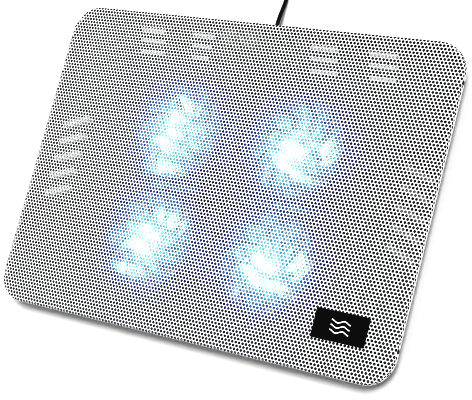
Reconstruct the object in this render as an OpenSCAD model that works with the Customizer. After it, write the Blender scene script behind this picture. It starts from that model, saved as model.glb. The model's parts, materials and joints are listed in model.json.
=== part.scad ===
// Laptop cooling pad: a perforated sheet cover on a black tray that holds four lit fans.
// Origin: centre of the footprint, on the surface the pad stands on.
// +X runs along the long edge, +Y to the back, where the cable leaves, and +Z up.

/* [Pad] */
// Width along the long edge
pad_w = 340; // [338:1:350]
// Depth from front edge to back edge
pad_d = 246; // [244:1:252]
// Height from the surface to the top of the cover
pad_h = 22; // [22:0.5:24]
// Corner radius of the outline
corner_r = 22; // [20:1:23]

/* [Cover] */
// Thickness of the sheet metal
sheet_t = 0.6; // [0.5:0.1:0.8]
// Outer radius of the rolled edge
bend_r = 1.6; // [1.4:0.1:2]
// Depth of the turned-down edge, measured from the top face
flange_h = 6; // [5:0.5:6.5]
// Length of the badge
badge_w = 41.4; // [30:0.1:42]
// Height of the badge
badge_h = 21.2; // [15:0.1:22]
// Badge centre, to the right of the pad's centre
badge_x = 126; // [110:0.1:130]
// Badge centre, behind the pad's centre
badge_y = -88.4; // [-92:0.1:-80]

/* [Base] */
// Height of the rubber feet below the tray
foot_h = 2; // [1.5:0.5:3]
// Wall and floor thickness of the tray
wall_t = 1.8; // [1.6:0.1:2]
// Gap between the cover's edge and the tray, with the sheet
tray_inset = 1.2; // [1.1:0.1:1.5]
// How far the tray's side tapers in towards its floor
taper = 5; // [4:0.5:5]

/* [Fans] */
// Side of the square fan frame
fan_size = 80; // [80:0.5:81]
// Thickness of a fan
fan_h = 10; // [10:0.5:11]
// Distance between fan centres along X
fan_gap_x = 103; // [102:0.5:106]
// Distance between fan centres along Y
fan_gap_y = 86.6; // [86:0.1:88]
// Centre of the fan group along X
fan_mid_x = 1; // [-1:0.5:2]
// Centre of the fan group along Y
fan_mid_y = -9.8; // [-11:0.1:-9]
// Number of blades
blade_count = 9; // [7:1:11]
// Pitch of the blades, in degrees
blade_pitch = 32; // [25:1:35]

/* [Legs] */
// Width of a fold-out leg
leg_w = 34; // [30:1:34]
// Length of a leg from its hinge axis, with its rubber tip
leg_l = 50; // [44:1:50]
// Distance of each leg from the middle of the pad
leg_x = 138; // [137:0.5:139]
// Hinge axis, behind the pad's centre
leg_y = 100; // [98:0.5:100]

/* [Cable] */
// Diameter of the cable
cable_d = 3; // [2.8:0.1:3]
// Where the cable leaves the back wall, along X
cable_x = 9; // [8:0.5:10]

/* [Hidden] */
$fn = 64;

// Overshoot of a cut past the face it opens
eps = 1;

// Heights
floor_z = foot_h;
floor_top = floor_z + wall_t;
sheet_z = pad_h - sheet_t;
badge_corner = 0.8;
badge_lip = 1.5;
badge_lip_t = 0.8;
flange_z = pad_h - flange_h;
bend_z = pad_h - bend_r;
wall_gap = 0.9;
wall_top = bend_z - wall_gap;

// Tray plan
tray_w = pad_w - 2 * tray_inset;
tray_d = pad_d - 2 * tray_inset;
tray_r = corner_r - tray_inset;

// Fans, numbered back left, back right, front left, front right
FANS = [for (sy = [1, -1]) for (sx = [-1, 1])
    [fan_mid_x + sx * fan_gap_x / 2, fan_mid_y + sy * fan_gap_y / 2]];
fan_z = floor_top;
duct_margin = 1.8;
duct_r = fan_size / 2 - duct_margin;
duct_wall = 1.4;
waist_r = duct_r + duct_wall;
rim_t = 1.6;
frame_corner_r = 4;
fan_hole_pitch = 71.5;
fan_hole_r = 1.6;
post_r = 4;
plate_r = 15.5;
plate_t = 1.6;
strut_w = 4.4;
tube_r = 4;
bearing_r = 3;
bearing_h = 6;
shaft_r = 1;
running_gap = 0.03;
hub_r = 15;
hub_z = fan_z + 3.2;
hub_top = fan_z + fan_h - 0.4;
cup_t = 1.6;
magnet_t = 1.2;
magnet_gap = 0.02;
stator_r = 11.4;
stator_core_r = 6.4;
stator_arm_w = 3.2;
stator_t = 2;
stator_z = fan_z + 4.4;
coil_lap = 1;
winding_x = 6.8;
winding_l = 3.6;
ring_board_r = 12.6;
ring_board_t = 1;
blade_r = duct_r - 1;
blade_z = fan_z + 4.6;
blade_t = 1.1;
blade_chord = 18;
blade_top = hub_top - 0.4;
led_orbit = 19;
led_r = 1.6;
led_body_h = 1.4;
led_dome_h = 1;
fan_screw_l = 9;
fan_head_r = 2.7;
fan_head_h = 1.1;
fan_head_slot_l = 3.2;
fan_head_slot_w = 0.7;

// Intake grille under each fan
grille_r = 36;
grille_bar = 2.7;
grille_slot = 3.8;
grille_rib = 3;
grille_rib_x = 13;

// Vents in the tray's floor
side_slot_x = 151;
side_slot_l = 22;
side_slot_w = 4.2;
side_slot_pitch = 14.5;
side_slot_tilt = 20;
back_slot_x = [-102, -53, 53, 102];
back_slot_l = 20;
back_slot_w = 3;
back_slot_y = 113.6;
back_slot_pitch = 9.1;
back_slot_shift = 2.2;
louvre_t = 1.2;
louvre_lean = 14;
side_louvre_z = floor_top + 4.6;
back_louvre_z = floor_top + 1.2;
louvre_seat = 1.6;
louvre_foot = 0.8;

// Side screws
side_screw_y = 95.5;
side_screw_z = pad_h - 3.4;
side_head_r = 1.7;
side_shank_r = 1;
side_shank_l = 6.5;
side_boss = [6, 8, 5];
side_boss_z = side_screw_z + 2 * side_shank_r - side_boss.z / 2;

// Leg hinge and the pocket that a folded leg lies in
leg_axis_z = floor_z + 3.4;
leg_barrel_r = 3;
leg_pin_r = 1.25;
leg_bore_r = leg_pin_r + 0.04;
leg_plate_z = floor_z + 0.4;
leg_plate_t = 4.2;
leg_recess = 1.2;
tip_l = 4;
pocket_w = leg_w + 4;
pocket_front = leg_y - leg_l - 3;
pocket_back = leg_y + 5;
pocket_top = floor_z + 7.2;
lug_r = 3.2;
lug_l = 3;
recess_margin = 6;
recess_start = 7;
recess_l = 22;
tip_margin = 1.5;

// Rear bay for the circuit board
bay_w = 78;
bay_front = 88;
bay_back = 121;
bay_top = flange_z;
board_w = 72;
board_d = 24;
board_z = floor_top + 1.4;
board_t = 1.4;
board_top = board_z + board_t;
board_y = bay_back - wall_t - 0.4 - board_d / 2;
BOARD_POSTS = [[-33, board_y - 8], [33, board_y - 8], [-19.5, board_y + 8], [17.5, board_y + 8]];
port_xs = [-29, -10];
port_w = 13.2;
port_h = 5.8;
port_l = 14;
port_t = 0.4;
port_z = board_top;
tongue_w = 11;
tongue_t = 1.6;
tongue_gap = 0.3;
switch_x = 28;
switch_travel = 3;
knob_z = board_top + 2.8;
knob_w = 3;
knob_h = 2.4;
knob_out = 0.8;
knob_slot_w = 8;
knob_slot_h = 2.8;
switch_w = 11;
switch_d = 5;
switch_h = 5.4;
board_post_r = 2.4;
board_screw_r = 0.8;
board_head_r = 1.9;
board_head_h = 1.1;
board_hole_r = 1.1;
socket = [6.4, 4.4, 3.2];
chip = [5, 6, 1.2];
capacitor_r = 2.5;
capacitor_h = 6;
trunk_r = 1.2;
lead_r = 0.9;
lead_y = 14;

// Rubber feet
foot_r = 7;
foot_sink = 0.6;
FEET = [[-140, -98], [140, -98], [0, -106], [-78, 104], [78, 104]];

// Posts under the cover
cover_post_r = 3;
POSTS = [[-112, -60], [112, -60], [-112, 24], [112, 24], [-62, -104], [62, -104]];

// Cable route, from the strain relief to the coil, and from the coil to the plug
exit_z = 10.2;
relief_end = 126;
relief_neck_r = 2.6;
relief_base_r = 2.9;
relief_flange_r = 3.4;
relief_flange_t = 1.4;
coil_x = -13;
coil_y = 184;
turn_r = 18;
coil_lift = 0.5;
coil_w = 6;
coil_h = 9;
coil_mid_r = turn_r - cable_d / 2;
tie_t = 0.5;
tie_angle = 16;
plug_x = -45;
plug_y = 200;
plug_z = 4.5;
plug_neck_l = 8;
plug_neck_r = 3;
plug_l = 26;
plug_w = 15.6;
plug_h = 8;
plug_shell_l = 18.6;
plug_shell_w = 12;
plug_shell_h = 4.5;
plug_shell_t = 0.4;
plug_room = 16;
latch_w = 2.2;
latch_l = 2.5;
latch_x = 7;
latch_y = 2.8;
ROUTE = [[9, 126, 10.2], [9, 131, 9.9], [8.6, 136, 8.5], [8, 141, 6.4], [7.3, 146, 4.2],
    [6.6, 151, 2.6], [6, 156, 2], [5.5, 162, 2], [5.1, 168, 2], [5, 173, 2]];
TAIL = [[-19, 201, 8], [-23, 201.2, 7.8], [-27, 201, 7.1], [-31, 200.6, 6.1], [-36, 200.2, 5],
    [-41, 200, 4.5], [-45, 200, 4.5]];
tube_sides = 8;

// ---------- shared shapes ----------

module round_rect(w, d, r) {
    square([w - 2 * r, d], center = true);
    square([w, d - 2 * r], center = true);
    for (x = [-1, 1], y = [-1, 1])
        translate([x * (w / 2 - r), y * (d / 2 - r)]) circle(r);
}

// Sweeps a profile round a rounded rectangle. In the profile, x counts outwards from the
// centre of a corner and y is the height.
module rim_sweep(w, d, r) {
    for (k = [0 : 3]) {
        along_x = k % 2 == 0 ? w / 2 - r : d / 2 - r;
        along_y = k % 2 == 0 ? d / 2 - r : w / 2 - r;
        rotate(90 * k) translate([along_x, along_y, 0]) {
            rotate([90, 0, 0]) linear_extrude(2 * along_y) children();
            rotate_extrude(angle = 90) children();
        }
    }
}

module centre_slab(w, d, r, z, t) {
    translate([-(w / 2 - r), -(d / 2 - r), z]) cube([w - 2 * r, d - 2 * r, t]);
}

module box_between(a, b) {
    translate(a) cube(b - a);
}

module at_fan(i) {
    translate([FANS[i].x, FANS[i].y, 0]) children();
}

module at_fan_corners() {
    for (x = [-1, 1], y = [-1, 1])
        translate([x * fan_hole_pitch / 2, y * fan_hole_pitch / 2, 0]) children();
}

function unit(v) = v / norm(v);

function tangent(pts, i) =
    unit(pts[min(i + 1, len(pts) - 1)] - pts[max(i - 1, 0)]);

function ring_at(pts, i, r) =
    let (t = tangent(pts, i), side = unit(cross(t, [0, 0, 1])), up = cross(side, t))
    [for (k = [0 : tube_sides - 1])
        let (a = 360 * (k + 0.5) / tube_sides)
        pts[i] + r * (cos(a) * side + sin(a) * up)];

// A tube of constant radius through a list of points
module swept_tube(pts, r) {
    rings = [for (i = [0 : len(pts) - 1]) each ring_at(pts, i, r)];
    last = (len(pts) - 1) * tube_sides;
    sides = [for (i = [0 : len(pts) - 2], k = [0 : tube_sides - 1])
        let (a = i * tube_sides + k, b = i * tube_sides + (k + 1) % tube_sides)
        [a, a + tube_sides, b + tube_sides, b]];
    start_cap = [for (k = [0 : tube_sides - 1]) k];
    end_cap = [for (k = [tube_sides - 1 : -1 : 0]) last + k];
    polyhedron(rings, concat(sides, [start_cap, end_cap]));
}

// ---------- cover ----------

// Cross-section of the cover's rim, drawn inset by a thickness
module cover_outline(inset) {
    square([corner_r - inset, bend_z]);
    square([corner_r - bend_r, pad_h - inset]);
    translate([corner_r - bend_r, bend_z]) circle(bend_r - inset);
}

module cover_profile() {
    difference() {
        cover_outline(0);
        cover_outline(sheet_t);
        square([corner_r + eps, flange_z]);
    }
}

module mesh_cover() color("whitesmoke") difference() {
    union() {
        rim_sweep(pad_w, pad_d, corner_r) cover_profile();
        centre_slab(pad_w, pad_d, corner_r, sheet_z, sheet_t);
    }
    translate([badge_x, badge_y, sheet_z - eps])
        linear_extrude(sheet_t + 2 * eps) round_rect(badge_w, badge_h, badge_corner);
    for (side = [-1, 1], y = [-side_screw_y, side_screw_y])
        translate([side * pad_w / 2, y, side_screw_z])
            rotate([0, 90, 0]) cylinder(h = 4 * sheet_t, r = side_head_r, center = true);
}

module badge() color([0.05, 0.05, 0.06]) translate([badge_x, badge_y, 0]) {
    translate([0, 0, sheet_z]) linear_extrude(sheet_t) round_rect(badge_w, badge_h, badge_corner);
    translate([0, 0, sheet_z - badge_lip_t]) linear_extrude(badge_lip_t)
        round_rect(badge_w + 2 * badge_lip, badge_h + 2 * badge_lip, badge_corner + badge_lip);
}

module cover_screws() color("black") {
    for (side = [-1, 1], y = [-side_screw_y, side_screw_y])
        translate([side * pad_w / 2, y, side_screw_z]) rotate([0, -90 * side, 0]) {
            cylinder(h = tray_inset, r = side_head_r);
            translate([0, 0, tray_inset]) cylinder(h = side_shank_l, r = side_shank_r);
        }
}

// ---------- base ----------

module tray_profile() {
    foot_x = tray_r - taper;
    polygon([[0, floor_z], [foot_x, floor_z], [tray_r, flange_z], [tray_r, wall_top],
        [tray_r - wall_t, wall_top], [tray_r - wall_t, flange_z],
        [foot_x - wall_t / 2, floor_top], [0, floor_top]]);
}

// One slanted vent opening, centred on the origin
module side_slot() {
    rotate(side_slot_tilt) square([side_slot_l, side_slot_w], center = true);
}

module back_slot() {
    square([back_slot_l, back_slot_w], center = true);
}

// Places a shape at every vent on one side; side is -1 on the left and 1 on the right
module at_side_slots(side) {
    for (k = [-2 : 2])
        translate([side * side_slot_x, k * side_slot_pitch, 0])
            mirror([side > 0 ? 1 : 0, 0, 0]) children();
}

module at_back_slots() {
    for (x = back_slot_x, k = [0 : 2])
        translate([x + (k - 1) * back_slot_shift, back_slot_y - k * back_slot_pitch, 0])
            children();
}

module fan_grille() {
    step = grille_bar + grille_slot;
    rows = floor(grille_r / step);
    difference() {
        intersection() {
            circle(grille_r);
            for (k = [-rows : rows])
                translate([0, k * step])
                    square([2 * grille_r, grille_slot], center = true);
        }
        for (x = [-grille_rib_x, grille_rib_x])
            translate([x, 0]) square([grille_rib, 2 * grille_r], center = true);
    }
}

module pocket_shape(grow, z0, z1) {
    for (side = [-1, 1])
        box_between(
            [side * leg_x - pocket_w / 2 - grow, pocket_front - grow, z0],
            [side * leg_x + pocket_w / 2 + grow, pocket_back + grow, z1]);
}

module pin_rod(r, extra) {
    for (side = [-1, 1])
        translate([side * leg_x, leg_y, leg_axis_z]) rotate([0, 90, 0])
            cylinder(h = pocket_w + 2 * extra, r = r, center = true);
}

module tray_solids() {
    rim_sweep(tray_w, tray_d, tray_r) tray_profile();
    centre_slab(tray_w, tray_d, tray_r, floor_z, wall_t);
    pocket_shape(wall_t, floor_z, pocket_top + wall_t);
    pin_rod(lug_r, wall_t + lug_l);
    box_between([-bay_w / 2, bay_front, floor_z], [bay_w / 2, bay_back, bay_top]);
    for (p = POSTS)
        translate([p.x, p.y, floor_z + wall_t / 2])
            cylinder(h = sheet_z - floor_z - wall_t / 2, r = cover_post_r);
    for (side = [-1, 1], y = [-side_screw_y, side_screw_y])
        translate([side * (tray_w / 2 - (wall_t + side_boss.x) / 2), y, side_boss_z])
            cube(side_boss, center = true);
}

module bay_room() {
    box_between([-bay_w / 2 + wall_t, bay_front - eps, floor_top],
        [bay_w / 2 - wall_t, bay_back - wall_t, bay_top + eps]);
}

module bay_openings() {
    through = 2 * wall_t;
    for (x = port_xs)
        box_between([x - port_w / 2, bay_back - through, port_z],
            [x + port_w / 2, bay_back + through, port_z + port_h]);
    box_between([switch_x - knob_slot_w / 2, bay_back - through, knob_z - knob_slot_h / 2],
        [switch_x + knob_slot_w / 2, bay_back + through, knob_z + knob_slot_h / 2]);
    translate([cable_x, bay_back, exit_z]) rotate([90, 0, 0])
        cylinder(h = 2 * through, r = relief_neck_r, center = true);
}

module base_shell() color([0.09, 0.09, 0.1]) {
    difference() {
        tray_solids();
        bay_room();
        bay_openings();
        pocket_shape(0, floor_z - eps, pocket_top);
        pin_rod(leg_pin_r, wall_t + lug_l - 1);
        for (f = FANS)
            translate([f.x, f.y, floor_z - eps])
                linear_extrude(wall_t + 2 * eps) fan_grille();
        for (f = FANS) translate([f.x, f.y, 0]) at_fan_corners()
            translate([0, 0, floor_z - eps]) cylinder(h = wall_t + 2 * eps, r = fan_hole_r);
        for (side = [-1, 1]) at_side_slots(side)
            translate([0, 0, floor_z - eps]) linear_extrude(wall_t + 2 * eps) side_slot();
        at_back_slots()
            translate([0, 0, floor_z - eps]) linear_extrude(wall_t + 2 * eps) back_slot();
        for (p = FEET)
            translate([p.x, p.y, floor_z - eps]) cylinder(h = foot_sink + eps, r = foot_r);
        for (side = [-1, 1], y = [-side_screw_y, side_screw_y])
            translate([side * pad_w / 2, y, side_screw_z]) rotate([0, 90, 0])
                cylinder(h = 2 * (tray_inset + side_shank_l), r = side_shank_r, center = true);
    }
    for (p = BOARD_POSTS)
        translate([p.x, p.y, floor_top]) difference() {
            cylinder(h = board_z - floor_top, r = board_post_r);
            cylinder(h = 2 * board_z, r = board_screw_r);
        }
}

module rubber_feet() color([0.15, 0.15, 0.16]) {
    for (p = FEET)
        translate([p.x, p.y, 0]) cylinder(h = foot_h + foot_sink, r = foot_r);
}

// A louvre blade: a thin slat at a height z that leans about its long axis, on two feet
module louvre(l, w, z) {
    translate([0, 0, z + w * sin(louvre_lean) / 2])
        rotate([louvre_lean, 0, 0]) cube([l, w, louvre_t], center = true);
    for (x = [-1, 1])
        translate([x * (l - louvre_foot) / 2 - louvre_foot / 2, -w / 4, floor_top])
            cube([louvre_foot, w / 2, z - floor_top]);
}

module side_louvres(side) color("white") {
    at_side_slots(side) rotate(side_slot_tilt)
        louvre(side_slot_l + louvre_seat, side_slot_w, side_louvre_z);
}

module vent_louvres_left() side_louvres(-1);
module vent_louvres_right() side_louvres(1);

module vent_louvres_back() color("white") {
    at_back_slots() louvre(back_slot_l + louvre_seat, back_slot_w, back_louvre_z);
}

// ---------- fans ----------

module fan_frame(i) color([0.12, 0.12, 0.14]) at_fan(i) difference() {
    union() {
        for (z = [fan_z, fan_z + fan_h - rim_t])
            translate([0, 0, z]) linear_extrude(rim_t) difference() {
                round_rect(fan_size, fan_size, frame_corner_r);
                circle(duct_r);
            }
        translate([0, 0, fan_z]) linear_extrude(fan_h) difference() {
            circle(waist_r);
            circle(duct_r);
        }
        at_fan_corners() translate([0, 0, fan_z]) cylinder(h = fan_h, r = post_r);
        translate([0, 0, fan_z]) cylinder(h = plate_t, r = plate_r);
        for (a = [0 : 90 : 270]) rotate(a)
            translate([plate_r - 1, -strut_w / 2, fan_z])
                cube([duct_r - plate_r + 1.5, strut_w, plate_t]);
        translate([0, 0, fan_z]) cylinder(h = plate_t + bearing_h, r = tube_r);
    }
    translate([0, 0, fan_z + plate_t - 0.6]) cylinder(h = bearing_h + 2, r = bearing_r);
    at_fan_corners() translate([0, 0, fan_z - eps])
        cylinder(h = fan_h + 2 * eps, r = fan_hole_r);
}

module blade() {
    intersection() {
        difference() {
            cylinder(h = pad_h, r = blade_r);
            translate([0, 0, -eps]) cylinder(h = pad_h + 2 * eps, r = hub_r - 0.6);
        }
        translate([0, 0, (blade_z + blade_top) / 2]) rotate([blade_pitch, 0, 0])
            translate([hub_r - cup_t, -blade_chord / 2, -blade_t / 2]) cube([blade_r, blade_chord, blade_t]);
        translate([0, -blade_chord, blade_z]) cube([blade_r + eps, 2 * blade_chord, blade_top - blade_z]);
    }
}

module fan_rotor(i) color([0.55, 0.75, 0.95, 0.7]) at_fan(i) difference() {
    union() {
        translate([0, 0, hub_z]) cylinder(h = hub_top - hub_z, r = hub_r);
        for (k = [0 : blade_count - 1]) rotate(360 * k / blade_count) blade();
    }
    translate([0, 0, hub_z - eps])
        cylinder(h = hub_top - cup_t - hub_z + eps, r = hub_r - cup_t);
    translate([0, 0, hub_z]) cylinder(h = hub_top - hub_z - 0.5, r = shaft_r);
}

module fan_magnet(i) color([0.3, 0.28, 0.27]) at_fan(i) difference() {
    translate([0, 0, hub_z + 0.4])
        cylinder(h = hub_top - cup_t - hub_z - 0.6, r = hub_r - cup_t - magnet_gap);
    cylinder(h = pad_h, r = hub_r - cup_t - magnet_t);
}

module fan_shaft(i) color("silver") at_fan(i) {
    translate([0, 0, fan_z + plate_t]) cylinder(h = hub_top - 0.5 - fan_z - plate_t, r = shaft_r);
}

module fan_bearings() color("goldenrod") for (i = [0 : 3]) at_fan(i) difference() {
    translate([0, 0, fan_z + plate_t]) cylinder(h = bearing_h - 0.4, r = bearing_r);
    translate([0, 0, fan_z]) cylinder(h = pad_h, r = shaft_r + running_gap);
}

module fan_stators() color([0.5, 0.5, 0.52]) for (i = [0 : 3]) at_fan(i)
    translate([0, 0, stator_z]) difference() {
        union() {
            cylinder(h = stator_t, r = stator_core_r);
            intersection() {
                cylinder(h = stator_t, r = stator_r);
                for (a = [0, 90]) rotate(a + 45) translate([-stator_r, -stator_arm_w / 2, 0])
                    cube([2 * stator_r, stator_arm_w, stator_t]);
            }
        }
        translate([0, 0, -eps]) cylinder(h = 2 * stator_t, r = tube_r);
    }

module fan_coils() color([0.72, 0.4, 0.18]) for (i = [0 : 3]) at_fan(i)
    for (a = [45 : 90 : 315])
        rotate(a) translate([winding_x + winding_l / 2, 0, stator_z + stator_t / 2]) difference() {
            cube([winding_l, stator_arm_w + 2 * coil_lap, winding_l], center = true);
            cube([2 * winding_l, stator_arm_w, stator_t], center = true);
        }

module fan_boards() color([0.1, 0.3, 0.16]) for (i = [0 : 3]) at_fan(i) difference() {
    translate([0, 0, fan_z + plate_t]) cylinder(h = ring_board_t, r = ring_board_r);
    translate([0, 0, fan_z]) cylinder(h = pad_h, r = tube_r);
}

module fan_leds() color([0.6, 0.85, 1]) for (i = [0 : 3]) at_fan(i)
    for (a = [0 : 90 : 270]) rotate(a) translate([led_orbit, 0, fan_z + plate_t]) {
        cylinder(h = led_body_h, r = led_r);
        translate([0, 0, led_body_h]) cylinder(h = led_dome_h, r1 = led_r, r2 = led_r * 0.6);
    }

module fan_screws() color([0.2, 0.2, 0.2]) for (i = [0 : 3]) at_fan(i) at_fan_corners() {
    translate([0, 0, floor_z]) cylinder(h = fan_screw_l, r = fan_hole_r);
    translate([0, 0, floor_z - fan_head_h]) difference() {
        cylinder(h = fan_head_h, r = fan_head_r);
        for (a = [0, 90]) rotate(a)
            cube([fan_head_slot_l, fan_head_slot_w, fan_head_h], center = true);
    }
}

// ---------- legs ----------

module leg(side) color([0.1, 0.1, 0.11]) translate([side * leg_x, leg_y, 0]) difference() {
    union() {
        translate([0, 0, leg_axis_z]) rotate([0, 90, 0])
            cylinder(h = leg_w, r = leg_barrel_r, center = true);
        translate([-leg_w / 2, -leg_l + tip_l, leg_plate_z])
            cube([leg_w, leg_l - tip_l, leg_plate_t]);
    }
    translate([-leg_w / 2 + recess_margin, -leg_l + tip_l + recess_start, leg_plate_z - eps])
        cube([leg_w - 2 * recess_margin, recess_l, leg_recess + eps]);
    translate([0, 0, leg_axis_z]) rotate([0, 90, 0])
        cylinder(h = leg_w + 2, r = leg_bore_r, center = true);
}

module leg_tip(side) color([0.2, 0.2, 0.2])
    translate([side * leg_x - leg_w / 2 + tip_margin, leg_y - leg_l, leg_plate_z])
        cube([leg_w - 2 * tip_margin, tip_l, leg_plate_t]);

module leg_pins() color("silver") pin_rod(leg_pin_r, wall_t + lug_l - 1);

// ---------- rear bay ----------

module control_board() color([0.08, 0.32, 0.18]) difference() {
    translate([0, board_y, board_z]) linear_extrude(board_t)
        square([board_w, board_d], center = true);
    for (p = BOARD_POSTS)
        translate([p.x, p.y, board_z - eps]) cylinder(h = board_t + 2 * eps, r = board_hole_r);
}

module board_screws() color("silver")
    for (p = BOARD_POSTS)
        translate([p.x, p.y, 0]) {
            translate([0, 0, floor_top]) cylinder(h = board_top - floor_top, r = board_screw_r);
            translate([0, 0, board_top]) cylinder(h = board_head_h, r = board_head_r);
        }

// Fan connectors, a driver chip and a capacitor on the board
module board_parts() color([0.85, 0.85, 0.8]) {
    for (k = [0 : 3])
        translate([-24 + 10 * k, board_y - 9, board_top + socket.z / 2]) cube(socket, center = true);
    translate([16, board_y - 1, board_top + chip.z / 2]) cube(chip, center = true);
    translate([18, board_y - 8, board_top]) cylinder(h = capacitor_h, r = capacitor_r);
}

module usb_ports() color("silver") for (x = port_xs)
    translate([x, bay_back, port_z + port_h / 2]) difference() {
        translate([0, -port_l / 2, 0]) cube([port_w, port_l, port_h], center = true);
        translate([0, -port_l / 2 + eps, 0])
            cube([port_w - 2 * port_t, port_l, port_h - 2 * port_t], center = true);
    }

module usb_tongues() color([0.1, 0.1, 0.1]) for (x = port_xs)
    translate([x - tongue_w / 2, bay_back - port_l + eps,
        port_z + port_h - port_t - tongue_gap - tongue_t])
        cube([tongue_w, port_l - 3 * eps, tongue_t]);

module switch_housing() color([0.12, 0.12, 0.12]) difference() {
    translate([switch_x - switch_w / 2, bay_back - wall_t - switch_d, board_top])
        cube([switch_w, switch_d, switch_h]);
    translate([switch_x - switch_w / 2 + 0.9, bay_back - wall_t - switch_d / 2, knob_z - 1.5])
        cube([switch_w - 1.8, switch_d, 3]);
}

module switch_knob() color([0.25, 0.25, 0.26])
    translate([switch_x - (knob_w + switch_travel) / 2, bay_back + knob_out, knob_z - knob_h / 2])
        mirror([0, 1, 0]) cube([knob_w, wall_t + knob_w, knob_h]);

// Leads from the board's connectors to the four fans, along the tray's floor
module wire(a, b, r) {
    d = b - a;
    translate(a) rotate([0, acos(d.z / norm(d)), atan2(d.y, d.x)])
        cylinder(h = norm(d), r = r, $fn = 24);
}

module wiring() color([0.6, 0.1, 0.1]) {
    trunk_z = floor_top + trunk_r + 0.1;
    lead_z = floor_top + lead_r + 0.2;
    wire([fan_mid_x, FANS[2].y, trunk_z], [fan_mid_x, board_y - board_d / 2 - 3, trunk_z], trunk_r);
    for (f = FANS)
        wire([fan_mid_x, f.y + lead_y, lead_z],
            [f.x - sign(f.x - fan_mid_x) * (fan_size / 2 + 0.2), f.y + lead_y, lead_z], lead_r);
}

module strain_relief() color([0.06, 0.06, 0.06])
    translate([cable_x, bay_back, exit_z]) rotate([-90, 0, 0]) {
        translate([0, 0, -wall_t - relief_flange_t])
            cylinder(h = relief_flange_t, r = relief_flange_r);
        translate([0, 0, -wall_t]) cylinder(h = wall_t, r = relief_neck_r);
        cylinder(h = relief_end - bay_back, r1 = relief_base_r, r2 = cable_d / 2 + 0.5);
    }

// ---------- cable ----------

module cable() color([0.05, 0.05, 0.05]) swept_tube(ROUTE, cable_d / 2);

module cable_tail() color([0.05, 0.05, 0.05]) swept_tube(TAIL, cable_d / 2);

// Section of the wound coil, grown by a thickness
module coil_section(grow) {
    translate([coil_mid_r, coil_lift + coil_h / 2])
        round_rect(coil_w + 2 * grow, coil_h + 2 * grow, cable_d / 2);
}

module cable_coil() color([0.05, 0.05, 0.05])
    translate([coil_x, coil_y, 0]) rotate_extrude() coil_section(0);

module cable_tie() color([0.1, 0.1, 0.1])
    translate([coil_x, coil_y, 0]) rotate(200) rotate_extrude(angle = tie_angle)
        difference() {
            coil_section(tie_t);
            coil_section(0);
        }

module plug_body() color([0.06, 0.06, 0.06]) translate([plug_x, plug_y, plug_z]) {
    rotate([0, -90, 0]) cylinder(h = plug_neck_l, r1 = cable_d / 2 + 0.6, r2 = plug_neck_r);
    translate([-plug_neck_l - plug_l, -plug_w / 2, -plug_h / 2]) cube([plug_l, plug_w, plug_h]);
}

module plug_shell() color("silver")
    translate([plug_x - plug_neck_l - plug_l - plug_shell_l, plug_y, plug_z]) difference() {
        translate([0, -plug_shell_w / 2, -plug_shell_h / 2])
            cube([plug_shell_l, plug_shell_w, plug_shell_h]);
        translate([-eps, plug_shell_t - plug_shell_w / 2, plug_shell_t - plug_shell_h / 2])
            cube([plug_room + eps, plug_shell_w - 2 * plug_shell_t, plug_shell_h - 2 * plug_shell_t]);
        for (y = [-latch_y, latch_y]) translate([latch_x, y, 0])
            cube([latch_l, latch_w, 2 * plug_shell_h], center = true);
    }

// ---------- nodes ----------

mesh_cover();
badge();
base_shell();
fan_frame(0);  // fan_frame_1
fan_frame(1);  // fan_frame_2
fan_frame(2);  // fan_frame_3
fan_frame(3);  // fan_frame_4
fan_rotor(0);  // fan_rotor_1
fan_rotor(1);  // fan_rotor_2
fan_rotor(2);  // fan_rotor_3
fan_rotor(3);  // fan_rotor_4
fan_magnet(0);  // fan_magnet_1
fan_magnet(1);  // fan_magnet_2
fan_magnet(2);  // fan_magnet_3
fan_magnet(3);  // fan_magnet_4
fan_shaft(0);  // fan_shaft_1
fan_shaft(1);  // fan_shaft_2
fan_shaft(2);  // fan_shaft_3
fan_shaft(3);  // fan_shaft_4
fan_bearings();
fan_stators();
fan_coils();
fan_boards();
fan_leds();
fan_screws();
vent_louvres_left();
vent_louvres_right();
vent_louvres_back();
cover_screws();
rubber_feet();
leg(-1);  // leg_left
leg(1);  // leg_right
leg_tip(-1);  // leg_tip_left
leg_tip(1);  // leg_tip_right
leg_pins();
control_board();
board_screws();
board_parts();
usb_ports();
usb_tongues();
switch_housing();
switch_knob();
wiring();
strain_relief();
cable();
cable_coil();
cable_tail();
cable_tie();
plug_body();
plug_shell();
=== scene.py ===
"""Looks of the laptop cooling pad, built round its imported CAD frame. Lengths are in metres."""

import json
from math import cos, pi, radians, sin, sqrt, tau

import bmesh
import bpy
import numpy as np
from mathutils import Matrix, Quaternion, Vector


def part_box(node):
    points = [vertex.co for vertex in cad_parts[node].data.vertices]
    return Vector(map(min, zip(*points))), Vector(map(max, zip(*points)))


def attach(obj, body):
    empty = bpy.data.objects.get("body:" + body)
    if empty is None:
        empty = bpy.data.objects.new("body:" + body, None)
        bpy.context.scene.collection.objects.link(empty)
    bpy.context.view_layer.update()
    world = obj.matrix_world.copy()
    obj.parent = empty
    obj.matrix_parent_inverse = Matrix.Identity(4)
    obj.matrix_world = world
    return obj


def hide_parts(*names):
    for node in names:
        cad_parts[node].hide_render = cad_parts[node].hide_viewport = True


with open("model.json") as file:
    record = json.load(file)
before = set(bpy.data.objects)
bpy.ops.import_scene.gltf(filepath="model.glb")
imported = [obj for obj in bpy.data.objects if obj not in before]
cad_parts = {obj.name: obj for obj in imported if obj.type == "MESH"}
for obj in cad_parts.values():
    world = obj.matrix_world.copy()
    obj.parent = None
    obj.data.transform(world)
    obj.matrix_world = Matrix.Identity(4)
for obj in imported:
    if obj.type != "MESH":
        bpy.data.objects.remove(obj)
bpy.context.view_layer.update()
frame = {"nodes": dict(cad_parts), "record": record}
nodes = frame["nodes"]
MM = 0.001

# ---------- camera ----------

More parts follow.
